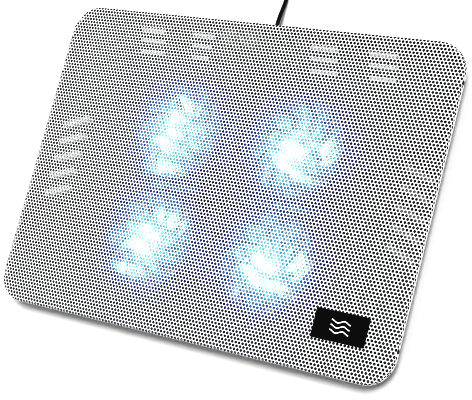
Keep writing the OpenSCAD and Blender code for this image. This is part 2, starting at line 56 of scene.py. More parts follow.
CAMERA_PLACE = Vector((0.4999, -0.1503, 0.8479))
CAMERA_AIM = Vector((0.0202, -0.0138, 0.022))
CAMERA_ROLL = radians(-61.5)
CAMERA_LENS = 100.24


def make_camera():
    """The photograph's view: high over the front right corner, rolled to the left."""
    data = bpy.data.cameras.new("camera")
    data.lens = CAMERA_LENS
    data.sensor_width = 36
    data.clip_start = 0.01
    data.clip_end = 20
    camera = bpy.data.objects.new("camera", data)
    bpy.context.scene.collection.objects.link(camera)
    look = (CAMERA_AIM - CAMERA_PLACE).to_track_quat("-Z", "Y")
    camera.location = CAMERA_PLACE
    camera.rotation_mode = "QUATERNION"
    camera.rotation_quaternion = look @ Quaternion((0, 0, 1), CAMERA_ROLL)
    bpy.context.scene.camera = camera


make_camera()

# ---------- materials ----------


class Paint:
    """A Principled material with a few procedural helpers."""

    def __init__(self, name, colour, rough, **sockets):
        self.material = bpy.data.materials.new(name)
        self.material.use_nodes = True
        self.tree = self.material.node_tree
        self.shader = self.tree.nodes["Principled BSDF"]
        self.colour = (*colour, 1)
        self.set("Base Color", self.colour)
        self.set("Roughness", rough)
        for socket, value in sockets.items():
            self.set(socket.replace("_", " "), value)
        coordinates = self.node("ShaderNodeTexCoord")
        self.place = coordinates.outputs["Object"]
        self.facing = coordinates.outputs["Normal"]

    def node(self, kind, **settings):
        made = self.tree.nodes.new(kind)
        for key, value in settings.items():
            setattr(made, key, value)
        return made

    def set(self, socket, value):
        self.shader.inputs[socket].default_value = value

    def link(self, source, target):
        self.tree.links.new(source, target)

    def noise(self, scale, detail=3, stretch=(1, 1, 1)):
        """Noise with about `scale` features to the metre."""
        mapping = self.node("ShaderNodeMapping")
        mapping.inputs["Scale"].default_value = stretch
        self.link(self.place, mapping.inputs["Vector"])
        made = self.node("ShaderNodeTexNoise")
        made.inputs["Scale"].default_value = scale
        made.inputs["Detail"].default_value = detail
        self.link(mapping.outputs["Vector"], made.inputs["Vector"])
        return made.outputs["Fac"]

    def math(self, operation, first, second):
        made = self.node("ShaderNodeMath", operation=operation)
        self.link(first, made.inputs[0])
        self.link(second, made.inputs[1])
        return made.outputs["Value"]

    def map_range(self, source, given, wanted, kind="LINEAR"):
        """Maps a value from the range `given` to the range `wanted`."""
        made = self.node("ShaderNodeMapRange", interpolation_type=kind)
        for socket, value in zip(("From Min", "From Max", "To Min", "To Max"), (*given, *wanted)):
            made.inputs[socket].default_value = value
        self.link(source, made.inputs["Value"])
        return made.outputs["Result"]

    def ramp(self, source, low, high, at=(0.3, 0.7)):
        """A colour that goes from `low` to `high` as the source crosses the range `at`."""
        made = self.node("ShaderNodeValToRGB")
        made.color_ramp.elements[0].position = at[0]
        made.color_ramp.elements[1].position = at[1]
        made.color_ramp.elements[0].color = (*low, 1)
        made.color_ramp.elements[1].color = (*high, 1)
        self.link(source, made.inputs["Fac"])
        return made.outputs["Color"]

    def mottle(self, scale, spread=0.1, stretch=(1, 1, 1)):
        """Lets the colour drift a little, lighter and darker."""
        low = [c * (1 - spread) for c in self.colour[:3]]
        high = [min(1, c * (1 + spread)) for c in self.colour[:3]]
        self.link(self.ramp(self.noise(scale, 3, stretch), low, high), self.shader.inputs["Base Color"])
        return self

    def rough_between(self, low, high, scale, stretch=(1, 1, 1)):
        """Lets the roughness drift between two values."""
        rough = self.map_range(self.noise(scale, 3, stretch), (0, 1), (low, high))
        self.link(rough, self.shader.inputs["Roughness"])
        return self

    def grain(self, scale, strength, distance=0.0001, detail=2, stretch=(1, 1, 1)):
        """Fine bumps of the moulded or sprayed surface."""
        bump = self.node("ShaderNodeBump")
        bump.inputs["Strength"].default_value = strength
        bump.inputs["Distance"].default_value = distance
        self.link(self.noise(scale, detail, stretch), bump.inputs["Height"])
        self.link(bump.outputs["Normal"], self.shader.inputs["Normal"])
        return self


def moulded(name, colour, rough, spread=0.12, grain=1500, strength=0.25, **sockets):
    """Moulded plastic or rubber with a fine texture."""
    paint = Paint(name, colour, rough, **sockets)
    paint.mottle(60, spread)
    paint.rough_between(rough - 0.05, rough + 0.05, 90)
    return paint.grain(grain, strength).material


def metal(name, colour, rough, stretch=(1, 1, 1), spread=0.06):
    """Bare metal, brushed along the axis that `stretch` shortens."""
    paint = Paint(name, colour, rough, Metallic=1.0)
    paint.mottle(300, spread, stretch)
    paint.rough_between(rough - 0.08, rough + 0.1, 500, stretch)
    return paint.grain(900, 0.08, stretch=stretch).material


def powder_coat():
    """White powder coat with a fine orange peel."""
    paint = Paint("powder_coat_white", (0.87, 0.87, 0.868), 0.42)
    paint.mottle(25, 0.012)
    paint.rough_between(0.36, 0.48, 70)
    return paint.grain(2600, 0.12, 0.00005).material


TRAY_COLOUR = (0.018, 0.018, 0.02)

MATERIALS = {
    "powder_coated_sheet": powder_coat(),
    "tray_plastic": moulded("tray_black", TRAY_COLOUR, 0.55),
    "fan_plastic": moulded("fan_frame_black", (0.02, 0.021, 0.026), 0.38, grain=900, strength=0.12),
    "magnet": moulded("ferrite", (0.1, 0.095, 0.095), 0.5),
    "steel": metal("bright_steel", (0.62, 0.62, 0.63), 0.25),
    "black_steel": moulded("black_oxide", (0.008, 0.008, 0.0085), 0.35, Metallic=0.7),
    "brass": metal("sintered_brass", (0.7, 0.52, 0.24), 0.4),
    "stator_steel": metal("stator_steel", (0.45, 0.45, 0.46), 0.4, (1, 1, 12)),
    "coil_copper": metal("enamelled_copper", (0.72, 0.34, 0.14), 0.3, (1, 1, 20)),
    "circuit_board": moulded("solder_mask", (0.01, 0.03, 0.018), 0.35, grain=700),
    # Painted light: the white louvres glow faintly, standing in for light coming up through the vents
    "louvre_plastic": moulded("louvre_white_painted_glow", (0.88, 0.88, 0.88), 0.4, spread=0.02,
                              Emission_Color=(1, 1, 1, 1), Emission_Strength=0.22),
    # Painted shade: a darker grey copy of the louvre plastic, without its glow, for the right louvres
    "dim_louvre_plastic": moulded("louvre_painted_shade", (0.45, 0.45, 0.45), 0.4, spread=0.02),
    "foot_rubber": moulded("foot_rubber", (0.035, 0.035, 0.037), 0.8, grain=1100, strength=0.4),
    "leg_plastic": moulded("leg_black", (0.02, 0.02, 0.022), 0.5),
    "connector_plastic": moulded("connector_black", (0.03, 0.03, 0.032), 0.45),
    "port_metal": metal("port_plating", (0.28, 0.28, 0.29), 0.3, (1, 12, 1)),
    "black_plastic": moulded("black_plastic", (0.015, 0.015, 0.016), 0.4),
    "knob_plastic": moulded("knob_grey", (0.07, 0.07, 0.074), 0.45),
    "wire_sheath": moulded("wire_sheath", (0.02, 0.02, 0.02), 0.5),
    "cable_jacket": moulded("cable_jacket", (0.002, 0.002, 0.0022), 0.5, grain=700, strength=0.15,
                            Specular_IOR_Level=0.15),
    "cable_tie": moulded("hook_strap", (0.025, 0.025, 0.027), 0.85, grain=2500, strength=0.9),
    "plug_plastic": moulded("plug_black", (0.014, 0.014, 0.015), 0.42),
    "led_blue": moulded("led_lens", (0.5, 0.85, 1.0), 0.2,
                        Emission_Color=(0.6, 0.9, 1.0, 1), Emission_Strength=5.0),
    "mark_white": moulded("mark_white", (0.85, 0.85, 0.85), 0.4, 0.02),
}

# ---------- pieces ----------


def finish_piece(piece, slot, body="root", replaces=(), material=None):
    """Gives a new piece its material and its body, and hides the CAD nodes that it stands for."""
    piece.data.materials.clear()
    piece.data.materials.append(material or MATERIALS[slot])
    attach(piece, body)
    if replaces:
        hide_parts(*replaces)
    return piece


def mesh_piece(name, shell, smooth_angle=30):
    """A closed mesh from points in millimetres, with its faces turned outwards."""
    points, faces = shell
    mesh = bpy.data.meshes.new(name)
    mesh.from_pydata([Vector(p) * MM for p in points], [], faces)
    piece = bpy.data.objects.new(name, mesh)
    bpy.context.scene.collection.objects.link(piece)
    work = bmesh.new()
    work.from_mesh(mesh)
    finish_mesh(mesh, work, smooth_angle)
    return piece


def finish_mesh(mesh, work, smooth_angle=30):
    """Writes the worked mesh back, faces outwards and smooth apart from its sharp edges."""
    bmesh.ops.recalc_face_normals(work, faces=work.faces)
    work.to_mesh(mesh)
    work.free()
    mesh.shade_smooth()
    mesh.set_sharp_from_angle(angle=radians(smooth_angle))


def softened(name, node, width):
    """A copy of a CAD node with its sharp edges rounded off by that many millimetres."""
    mesh = nodes[node].data.copy()
    work = bmesh.new()
    work.from_mesh(mesh)
    bmesh.ops.remove_doubles(work, verts=work.verts, dist=0.001 * MM)
    bmesh.ops.dissolve_limit(work, angle_limit=radians(2), verts=work.verts, edges=work.edges)
    sharp = [edge for edge in work.edges if edge.is_manifold and edge.calc_face_angle() > radians(35)]
    bmesh.ops.bevel(work, geom=sharp, offset=width * MM, segments=2, profile=0.5, affect="EDGES",
                    clamp_overlap=True)
    piece = bpy.data.objects.new(name, mesh)
    bpy.context.scene.collection.objects.link(piece)
    finish_mesh(mesh, work)
    return piece


LEAST_R = 0.1


def rounded_loop(w, d, r, steps=4):
    """Points round a rounded rectangle that is centred on the origin."""
    points = []
    for k, (side_x, side_y) in enumerate(((1, 1), (-1, 1), (-1, -1), (1, -1))):
        for j in range(steps + 1):
            a = pi / 2 * (k + j / steps)
            points.append((side_x * (w / 2 - r) + r * cos(a), side_y * (d / 2 - r) + r * sin(a)))
    return points


def stacked(loops):
    """A closed shell through loops with equal numbers of points, flat at both ends."""
    count = len(loops[0])
    points = [tuple(p) for loop in loops for p in loop]
    faces = [tuple(reversed(range(count)))]
    for k in range(len(loops) - 1):
        for j in range(count):
            a, b = k * count + j, k * count + (j + 1) % count
            faces.append((a, b, b + count, a + count))
    faces.append(tuple(range(len(points) - count, len(points))))
    return points, faces


def slab(w, d, r, layers):
    """A rounded block from layers of (height, inset)."""
    loops = []
    for z, inset in layers:
        loop = rounded_loop(w - 2 * inset, d - 2 * inset, max(r - inset, LEAST_R))
        loops.append([(x, y, z) for x, y in loop])
    return stacked(loops)


def turned(profile, sides=48):
    """A closed profile of (radius, z) turned round the Z axis."""
    turns = [(cos(tau * k / sides), sin(tau * k / sides)) for k in range(sides)]
    points = [(r * x, r * y, z) for x, y in turns for r, z in profile]
    count = len(profile)
    faces = []
    for k in range(sides):
        for j in range(count):
            a, b = k * count + j, k * count + (j + 1) % count
            c, d = (k + 1) % sides * count + (j + 1) % count, (k + 1) % sides * count + j
            faces.append((a, d, c, b))
    return points, faces


def placed(shell, place=(0, 0, 0), angle=0, axis="Z"):
    """Turns a shell about an axis, in degrees, and then moves it."""
    matrix = Matrix.Translation(place) @ Matrix.Rotation(radians(angle), 4, axis)
    points, faces = shell
    return [tuple(matrix @ Vector(p)) for p in points], faces


def joined(shells):
    """Several shells as one."""
    points, faces = [], []
    for more_points, more_faces in shells:
        faces += [tuple(n + len(points) for n in face) for face in more_faces]
        points += more_points
    return points, faces


def box_mm(node):
    """A node's lowest and highest corners in millimetres."""
    return [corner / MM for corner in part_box(node)]


# ---------- cable ----------

CABLE_D = 3.0
EXIT = (9, 126, 10.2)
ROUTE = [EXIT, (9, 131, 9.9), (8.6, 136, 8.5), (8, 141, 6.4), (7.3, 146, 4.2),
         (6.6, 151, 2.6), (6, 156, 2), (5.5, 162, 2), (5.1, 168, 2), (5, 173, 2)]
TAIL = [(-19, 201, 8), (-23, 201.2, 7.8), (-27, 201, 7.1), (-31, 200.6, 6.1), (-36, 200.2, 5),
        (-41, 200, 4.5), (-45, 200, 4.5)]
COIL_CENTRE = (-13, 184)
COIL_START = (18, 2)
# Where the cable steps to its next lane: degrees, then the lane's radius and height, then a bulge
COIL_STEPS = [(335, 15, 2, 0), (695, 15, 5, -0.9), (1055, 18, 5, 0), (1365, 16.5, 7.8, 0.5)]
COIL_END = 1530
COIL_POINT_ANGLE = 12
STEP_HALF_ANGLE = 28


def coil_point(angle):
    """The cable's middle in its coil, in millimetres, after that many degrees."""
    radius, height = COIL_START
    for at, next_radius, next_height, bulge in COIL_STEPS:
        t = min(1, max(0, (angle - at + STEP_HALF_ANGLE) / (2 * STEP_HALF_ANGLE)))
        ease = t * t * (3 - 2 * t)
        radius += (next_radius - radius) * ease + bulge * sin(pi * t)
        height += (next_height - height) * ease
    a = radians(angle)
    return (COIL_CENTRE[0] + radius * cos(a), COIL_CENTRE[1] + radius * sin(a), height)


def smooth_line(points, per_span):
    """A Catmull-Rom curve through the points."""
    pts = [Vector(p) for p in points]
    pts = [2 * pts[0] - pts[1]] + pts + [2 * pts[-1] - pts[-2]]
    line = []
    for a, b, c, d in zip(pts, pts[1:], pts[2:], pts[3:]):
        for k in range(per_span):
            t = k / per_span
            line.append(0.5 * (2 * b + (c - a) * t + (2 * a - 5 * b + 4 * c - d) * t ** 2
                               + (3 * b - a - 3 * c + d) * t ** 3))
    return line + [pts[-2]]


def make_cable():
    """The whole lead as one round curve: route, coil and tail."""
    coil = [coil_point(a) for a in range(0, COIL_END + 1, COIL_POINT_ANGLE)]
    line = smooth_line(ROUTE + coil + TAIL, 2)
    curve = bpy.data.curves.new("usb_cable", "CURVE")
    curve.dimensions = "3D"
    curve.bevel_depth = CABLE_D / 2 * MM
    curve.bevel_resolution = 4
    curve.use_fill_caps = True
    spline = curve.splines.new("POLY")
    spline.points.add(len(line) - 1)
    for point, place in zip(spline.points, line):
        point.co = (*(place * MM), 1)
    cable = bpy.data.objects.new("usb_cable", curve)
    bpy.context.scene.collection.objects.link(cable)
    return finish_piece(cable, "cable_jacket", replaces=("cable", "cable_coil", "cable_tail"))


cable = make_cable()

# ---------- light of the fans ----------

FAN_NUMBERS = (1, 2, 3, 4)
# Share of the light that reaches the surfaces round the rotors
INSIDE_SHARE = 0.82
FRAME_SHARE = 0.9
TRAY_SHARE = 0.85
# Colour of the light in the fans, from dark to full: navy, blue, cyan and white
GLOW_STOPS = [
    (0.0, (0, 0, 0)), (0.12, (0.0, 0.001, 0.02)), (0.24, (0.003, 0.01, 0.09)),
    (0.36, (0.012, 0.05, 0.22)), (0.46, (0.045, 0.21, 0.31)), (0.58, (0.15, 0.47, 0.45)),
    (0.76, (0.42, 0.72, 0.67)), (1.0, (1, 1, 1)),
]
GLOW_STRENGTH = 1.5
GLOW_HEIGHT = 60
# Light that falls off round a fan's centre: (reach, share)
HALO = [(86, 0.47), (54, 0.28)]
# Bright patches in each fan: middle from the fan's centre, half length, half width and angle
GLINTS = {
    1: [(-4, 9, 12, 7, -21), (-4, -3, 9, 7, -30), (-9, -13, 13, 7, -27), (-4, -31, 22, 9, 8),
        (0, 22, 16, 6, -27)],
    2: [(0, -2, 16, 8, -18), (-8, -12, 13, 7, -22), (25, 0, 9, 14, 0), (10, -21, 16, 5, -10)],
    3: [(0, 4, 15, 8, -12), (-5, -8, 18, 8, -13), (14, 17, 22, 8, -14), (-12, -27, 20, 7, -5)],
    4: [(0, -2, 16, 7, -19), (-8, -12, 15, 7, -30), (25, 2, 9, 14, 0), (14, -17, 15, 6, -5)],
}
GLINT_SHARE = 0.42
GLINT_CORE = 0.35
PATCHINESS = 0.16
PATCHES_PER_METRE = 150
# How far a face may look down, as its normal's Z, before the light on it fades out
FACING_FADE = (-0.7, -0.2)


class Glow:
    """Light inside the fans, as if each surface were lit by the lamps: dim is blue and full is white."""

    def __init__(self, paint):
        self.paint = paint
        self.total = None

    def spot(self, middle, half_length, half_width, angle, share, core=0.0):
        """An oval of light that is full over its core and fades out to its edge."""
        paint = self.paint
        mapping = paint.node("ShaderNodeMapping", vector_type="TEXTURE")
        mapping.inputs["Location"].default_value = middle
        mapping.inputs["Rotation"].default_value = (0, 0, radians(angle))
        mapping.inputs["Scale"].default_value = Vector((half_length, half_width, GLOW_HEIGHT)) * MM
        paint.link(paint.place, mapping.inputs["Vector"])
        away = paint.node("ShaderNodeVectorMath", operation="LENGTH")
        paint.link(mapping.outputs["Vector"], away.inputs[0])
        light = paint.map_range(away.outputs["Value"], (core, 1), (share, 0), "SMOOTHSTEP")
        self.total = light if self.total is None else paint.math("ADD", self.total, light)

    def fan(self, number, share=1.0):
        """The light of one fan: its halo and its bright patches."""
        middle = fan_middle(number)
        for reach, part in HALO:
            self.spot(middle, reach, reach, 0, part * share)
        for x, y, half_length, half_width, angle in GLINTS[number]:
            place = middle + Vector((x, y, 0)) * MM
            self.spot(place, half_length, half_width, angle, GLINT_SHARE * share, GLINT_CORE)
        return self

    def all_fans(self, share):
        for number in FAN_NUMBERS:
            self.fan(number, share)
        return self

    def shade_below(self):
        """Leaves the faces that look down unlit."""
        paint = self.paint
        split = paint.node("ShaderNodeSeparateXYZ")
        paint.link(paint.facing, split.inputs["Vector"])
        level = paint.map_range(split.outputs["Z"], FACING_FADE, (0, 1))
        self.total = paint.math("MULTIPLY", self.total, level)
        return self

    def finish(self):
        """Makes the light patchy, colours it and hands it to the shader."""
        paint = self.paint
        noise = paint.noise(PATCHES_PER_METRE, 1)
        patches = paint.map_range(noise, (0.3, 0.7), (1 - PATCHINESS * 2, 1 + PATCHINESS))
        light = paint.math("MULTIPLY", self.total, patches)
        ramp = paint.node("ShaderNodeValToRGB")
        ramp.color_ramp.elements[0].color = (*GLOW_STOPS[0][1], 1)
        ramp.color_ramp.elements[1].color = (*GLOW_STOPS[-1][1], 1)
        for at, colour in GLOW_STOPS[1:-1]:
            ramp.color_ramp.elements.new(at).color = (*colour, 1)
        paint.link(light, ramp.inputs["Fac"])
        paint.link(ramp.outputs["Color"], paint.shader.inputs["Emission Color"])
        paint.set("Emission Strength", GLOW_STRENGTH)
        return paint.material


def fan_middle(number):
    low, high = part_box(f"fan_frame_{number}")
    return (low + high) / 2


def shaded_and_lit_inside():
    """The inner face and hole walls of the cover, near-black as painted shade in the holes, with the fans'
    light painted on from below as emission.
    """
    paint = Paint("cover_inside_painted_shade_and_glow", (0.012, 0.012, 0.013), 0.7, Specular_IOR_Level=0.2)
    paint.mottle(60, 0.12)
    return Glow(paint).all_fans(INSIDE_SHARE).finish()


# Painted shade and painted light for the cover's inner face and hole walls
COVER_INSIDE_SHADE_AND_GLOW = shaded_and_lit_inside()

# ---------- perforated cover ----------

PITCH = 2.85
ROW = PITCH * sqrt(3) / 2
HEX_R = PITCH / sqrt(3)
HOLE_R = 1.0
HOLE_SIDES = 12
SHEET_T = 0.6
BEND_R = 1.6
CORNER_R = 22.0
FLANGE_H = 6.0
COVER_STRIPS = 5
EDGE_MARGIN = 1.6
WINDOW_MARGIN = 1.15
SCREW_MARGIN = 2.9
# The cover's texture map: its half width in the map, how far it is squeezed, and a wall's width
UV_REACH = 0.48
UV_SQUEEZE = 1.4
UV_WALL = 0.45

cover_high = np.array(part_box("mesh_cover")[1]) / MM
badge_low, badge_high = (np.array(corner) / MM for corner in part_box("badge"))
screw_high = np.array(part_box("cover_screws")[1]) / MM
TOP_Z = float(cover_high[2])
FLAT_HALF = cover_high[:2] - BEND_R
FLAT_R = CORNER_R - BEND_R
BEND_ARC = BEND_R * pi / 2
SHEET_EDGE = BEND_ARC + FLANGE_H - BEND_R
BADGE_LIP = 1.5
WINDOW_MID = (badge_low[:2] + badge_high[:2]) / 2
BADGE_OVERLAP = 1.5
WINDOW_HALF = (badge_high[:2] - badge_low[:2]) / 2 - BADGE_LIP - BADGE_OVERLAP
SCREW_R = 1.7
SCREW_Y = float(screw_high[1]) - SCREW_R
SCREW_Z = float(screw_high[2]) - SCREW_R


def outline_distance(flat, half, radius):
    """How far points lie outside a rounded rectangle, and the way out."""
    over = np.abs(flat) - (half - radius)
    out = np.maximum(over, 0)
    length = np.linalg.norm(out, axis=1)
    distance = length + np.minimum(over.max(axis=1), 0) - radius
    way = np.where(over == over.max(axis=1)[:, None], 1.0, 0.0)
    far = length > 1e-9
    way[far] = out[far] / length[far, None]
    return distance, way * np.where(flat < 0, -1.0, 1.0)


def fold(flat, depth):
    """Places points of the flat sheet on the folded cover, at a depth below its outer face.
    Returns the points and the normals."""
    distance, way = outline_distance(flat, FLAT_HALF, FLAT_R)
    run = np.maximum(distance, 0)
    angle = np.minimum(run / BEND_R, pi / 2)
    drop = np.maximum(run - BEND_ARC, 0)
    reach = (BEND_R - depth) * np.sin(angle) - run
    xy = flat + way * np.where(distance > 0, reach, 0)[:, None]
    z = TOP_Z - BEND_R + (BEND_R - depth) * np.cos(angle) - drop
    normal = np.column_stack([way * np.sin(angle)[:, None], np.cos(angle)])
    return np.column_stack([xy, z]), normal


def sheet_lattice():
    """Hole centres over the whole flat sheet and a little past its edge."""
    rows = int((FLAT_HALF[1] + SHEET_EDGE) / ROW) + 2
    columns = int((FLAT_HALF[0] + SHEET_EDGE) / PITCH) + 2
    n, k = np.meshgrid(np.arange(-rows, rows), np.arange(-columns, columns + 1), indexing="ij")
    x = (k + 0.5 * (n % 2)) * PITCH
    return np.column_stack([x.ravel(), ((n + 0.5) * ROW).ravel()])


def sheet_corners(centres):
    """The hexagon round each centre: shared corner points, and six corner numbers for each centre.
    Corners past the sheet's edge or inside the badge's window are drawn to the border."""
    turn = radians(30) + np.arange(6) * tau / 6
    around = centres[:, None, :] + HEX_R * np.stack([np.cos(turn), np.sin(turn)], axis=1)
    keys = np.rint(around.reshape(-1, 2) / (PITCH / 2, HEX_R / 4)).astype(int)
    unique, number = np.unique(keys, axis=0, return_inverse=True)
    corners = unique * (PITCH / 2, HEX_R / 4)
    distance, way = outline_distance(corners, FLAT_HALF, FLAT_R)
    corners -= way * np.maximum(distance - SHEET_EDGE, 0)[:, None]
    inside, out = outline_distance(corners - WINDOW_MID, WINDOW_HALF, 0.01)
    corners -= out * np.minimum(inside, 0)[:, None]
    kept, merged = np.unique(np.round(corners, 5), axis=0, return_inverse=True)
    return kept, merged.ravel()[number.ravel()].reshape(-1, 6)


def cell_kinds(centres):
    """Which cells have a hole, and which are there at all."""
    distance, _ = outline_distance(centres, FLAT_HALF, FLAT_R)
    window, _ = outline_distance(centres - WINDOW_MID, WINDOW_HALF, 0.01)
    side = FLAT_HALF[0] + BEND_ARC + TOP_Z - BEND_R - SCREW_Z
    screw = np.hypot(np.abs(centres[:, 0]) - side, np.abs(centres[:, 1]) - SCREW_Y)
    holed = (distance < SHEET_EDGE - EDGE_MARGIN) & (window > WINDOW_MARGIN) & (screw > SCREW_MARGIN)
    present = (distance < SHEET_EDGE + HEX_R) & (window > -HEX_R)
    return holed, present


def hole_faces(corner_numbers, first_ring):
    """Eighteen triangles between each hexagon and its hole."""
    count = len(corner_numbers)
    ring = first_ring + np.arange(count)[:, None] * HOLE_SIDES + np.arange(HOLE_SIDES)
    faces = []
    for k in range(6):
        a, b = corner_numbers[:, k], corner_numbers[:, (k + 1) % 6]
        near, mid, far = (ring[:, (2 * k + j) % HOLE_SIDES] for j in (1, 2, 3))
        faces += [np.column_stack(t) for t in ((a, b, mid), (b, far, mid), (a, mid, near))]
    faces = np.concatenate(faces)
    repeats = (faces[:, 0] == faces[:, 1]) | (faces[:, 1] == faces[:, 2]) | (faces[:, 0] == faces[:, 2])
    return faces[~repeats]


def solid_faces(corner_numbers):
    """A plain polygon for each cell without a hole, where any of it is left."""
    faces = []
    for numbers in corner_numbers.tolist():
        loop = [n for k, n in enumerate(numbers) if n != numbers[k - 1]]
        if len(set(loop)) == len(loop) >= 3:
            faces.append(loop)
    return faces


def open_edges(faces):
    """Directed edges that only one face has."""
    edges = np.array([(f[k - 1], f[k]) for f in faces for k in range(len(f))])
    low_high = np.sort(edges, axis=1)
    _, index, count = np.unique(low_high, axis=0, return_index=True, return_counts=True)
    return edges[index[count == 1]]


def cover_strip(name, centres, holed, corners, numbers):
    """One strip of the cover as a closed mesh: outer face, inner face and the walls between."""
    used, inverse = np.unique(numbers, return_inverse=True)
    numbers = inverse.reshape(-1, 6)
    turn = np.arange(HOLE_SIDES) * tau / HOLE_SIDES
    rings = centres[holed][:, None, :] + HOLE_R * np.stack([np.cos(turn), np.sin(turn)], axis=1)
    flat = np.concatenate([corners[used], rings.reshape(-1, 2)])
    outer = hole_faces(numbers[holed], len(used)).tolist() + solid_faces(numbers[~holed])
    edges = open_edges(outer)
    count = len(flat)
    walls = [(b, a, a + count, b + count) for a, b in edges.tolist()]
    inner = [[n + count for n in reversed(face)] for face in outer]
    top, top_normal = fold(flat, 0)
    under, _ = fold(flat, SHEET_T)
    points = np.concatenate([top, under]) * MM
    mesh = bpy.data.meshes.new(name)
    mesh.from_pydata(points.tolist(), [], outer + walls + inner)
    set_cover_normals(mesh, np.concatenate([top_normal, -top_normal]), len(outer), len(walls))
    set_cover_uv(mesh, flat, outer, edges)
    piece = bpy.data.objects.new(name, mesh)
    piece["outer_faces"] = len(outer)
    bpy.context.scene.collection.objects.link(piece)
    return piece


def set_cover_normals(mesh, normals, outer_count, wall_count):
    """Smooth normals over the rolled edge, and flat ones on the walls."""
    mesh.shade_smooth()
    flags = np.ones(len(mesh.polygons), bool)
    flags[outer_count:outer_count + wall_count] = False
    mesh.polygons.foreach_set("use_smooth", flags)
    loops = np.zeros(len(mesh.loops), int)
    mesh.loops.foreach_get("vertex_index", loops)
    totals = np.zeros(len(mesh.polygons), int)
    mesh.polygons.foreach_get("loop_total", totals)
    face_normals = np.zeros(len(mesh.polygons) * 3)
    mesh.polygons.foreach_get("normal", face_normals)
    smooth = np.repeat(flags, totals)
    flat_normals = np.repeat(face_normals.reshape(-1, 3), totals, axis=0)
    per_loop = np.where(smooth[:, None], normals[loops], flat_normals)
    mesh.normals_split_custom_set(per_loop.tolist())


def set_cover_uv(mesh, flat, outer, edges):
    """Lays the outer face in one half of the map, the inner face in the other, and each wall in its hole."""
    scale = UV_REACH / (FLAT_HALF[0] + SHEET_EDGE)
    along = flat[edges[:, 1]] - flat[edges[:, 0]]
    aside = np.column_stack([along[:, 1], -along[:, 0]])
    aside *= UV_WALL / np.maximum(np.linalg.norm(aside, axis=1), 1e-9)[:, None]
    a, b = flat[edges[:, 0]], flat[edges[:, 1]]
    walls = np.stack([b, a, a + aside, b + aside], axis=1).reshape(-1, 2)
    face = flat[np.concatenate([np.array(f) for f in outer])]
    back = flat[np.concatenate([np.array(f[::-1]) for f in outer])]
    places = np.concatenate([face, walls, back]) * scale / (1, UV_SQUEEZE) + (0.5, 0.25)
    places[len(face) + len(walls):, 1] += 0.5
    layer = mesh.uv_layers.new(name="OFBake")
    layer.data.foreach_set("uv", places.ravel())


def make_cover():
    """The cover in strips across its width, each holding whole cells of the lattice."""
    centres = sheet_lattice()
    holed, present = cell_kinds(centres)
    centres, holed = centres[present], holed[present]
    corners, numbers = sheet_corners(centres)
    width = 2 * (FLAT_HALF[0] + SHEET_EDGE) / COVER_STRIPS
    strips = np.clip(((centres[:, 0] / width) + COVER_STRIPS / 2).astype(int), 0, COVER_STRIPS - 1)
    for k in range(COVER_STRIPS):
        mine = strips == k
        piece = cover_strip(f"cover_mesh_{k + 1}", centres[mine], holed[mine], corners, numbers[mine])
        finish_piece(piece, "powder_coated_sheet", replaces=("mesh_cover",))
        # The inner face and hole walls take the painted shade and the fans' painted light
        piece.data.materials.append(COVER_INSIDE_SHADE_AND_GLOW)
        inside = np.zeros(len(piece.data.polygons), int)
        inside[piece["outer_faces"]:] = 1
        piece.data.polygons.foreach_set("material_index", inside)
        del piece["outer_faces"]


make_cover()

# ---------- fans ----------

HUB_R = 15.0
BLADES = 9
BLADE_R = 37.2
BLADE_T = 1.1
BLADE_LOW = 8.6
BLADE_HIGH = 12.9
BLADE_SWEEP = radians(34)
BLADE_SPAN = radians(31)
HUB_PROFILE = [(0.05, 13.3), (9.0, 13.25), (13.6, 13.1), (14.6, 12.8), (15.0, 12.2), (15.0, 7.0),
               (13.4, 7.0), (13.4, 11.8), (1.3, 11.8), (1.3, 12.4), (0.05, 12.4)]


def blade_shell(span_steps=9, chord_steps=6):
    """One swept blade, in millimetres round the fan's axis."""
    loops = []
    for i in range(span_steps + 1):
        t = i / span_steps
        radius = HUB_R - 0.3 + (BLADE_R - HUB_R + 0.3) * t
        middle = BLADE_SWEEP * t ** 1.3
        span = BLADE_SPAN * (1 - 0.12 * t)
        over, under = [], []
        for j in range(chord_steps + 1):
            c = j / chord_steps
            angle = middle + span * (c - 0.5)
            lift = 0.5 * sin(pi * c) - 0.4 * t - 0.5
            z = BLADE_HIGH - (BLADE_HIGH - BLADE_LOW) * c * (1 - 0.25 * t) + lift
            half = BLADE_T / 2 * (0.35 + 0.65 * sin(pi * min(max(c, 0.04), 0.96)))
            over.append((radius * cos(angle), radius * sin(angle), z + half))
            under.append((radius * cos(angle), radius * sin(angle), z - half))
        loops.append(over + under[::-1])
    return stacked(loops)


def make_rotor(number):
    """A hub with its blades, with the fans' light painted on them as emission."""
    low, high = box_mm(f"fan_rotor_{number}")
    middle = (low + high) / 2
    blade = blade_shell()
    shells = [turned(HUB_PROFILE, 64)] + [placed(blade, angle=360 * k / BLADES) for k in range(BLADES)]
    rotor = mesh_piece(f"rotor_{number}", placed(joined(shells), (middle.x, middle.y, 0)), 35)
    paint = Paint(f"lit_rotor_{number}", (0.08, 0.16, 0.24), 0.25)
    paint.mottle(200, 0.2)
    lit = Glow(paint).fan(number).finish()
    finish_piece(rotor, "rotor_clear", f"rotor_{number}", (f"fan_rotor_{number}",), lit)


for number in FAN_NUMBERS:
    make_rotor(number)

# ---------- badge ----------

BADGE_CORNER = 0.8
BADGE_TOP = TOP_Z + 0.3
BADGE_EDGE = 0.15
WAVE_LENGTH = 15
WAVE_SWING = 0.9
WAVE_STEP = 3.6
WAVE_WIDTH = 1.1
WAVE_T = 0.12


def wave_shell(width, length):
    """A flat ribbon that waves once and a half along X."""
    steps = 36
    along = [length * (k / steps - 0.5) for k in range(steps + 1)]
    side = [(x, WAVE_SWING * sin(3 * pi * x / length)) for x in along]
    edge = [(x, y - width / 2) for x, y in side] + [(x, y + width / 2) for x, y in reversed(side)]
    return stacked([[(x, y, z) for x, y in edge] for z in (0, WAVE_T)])


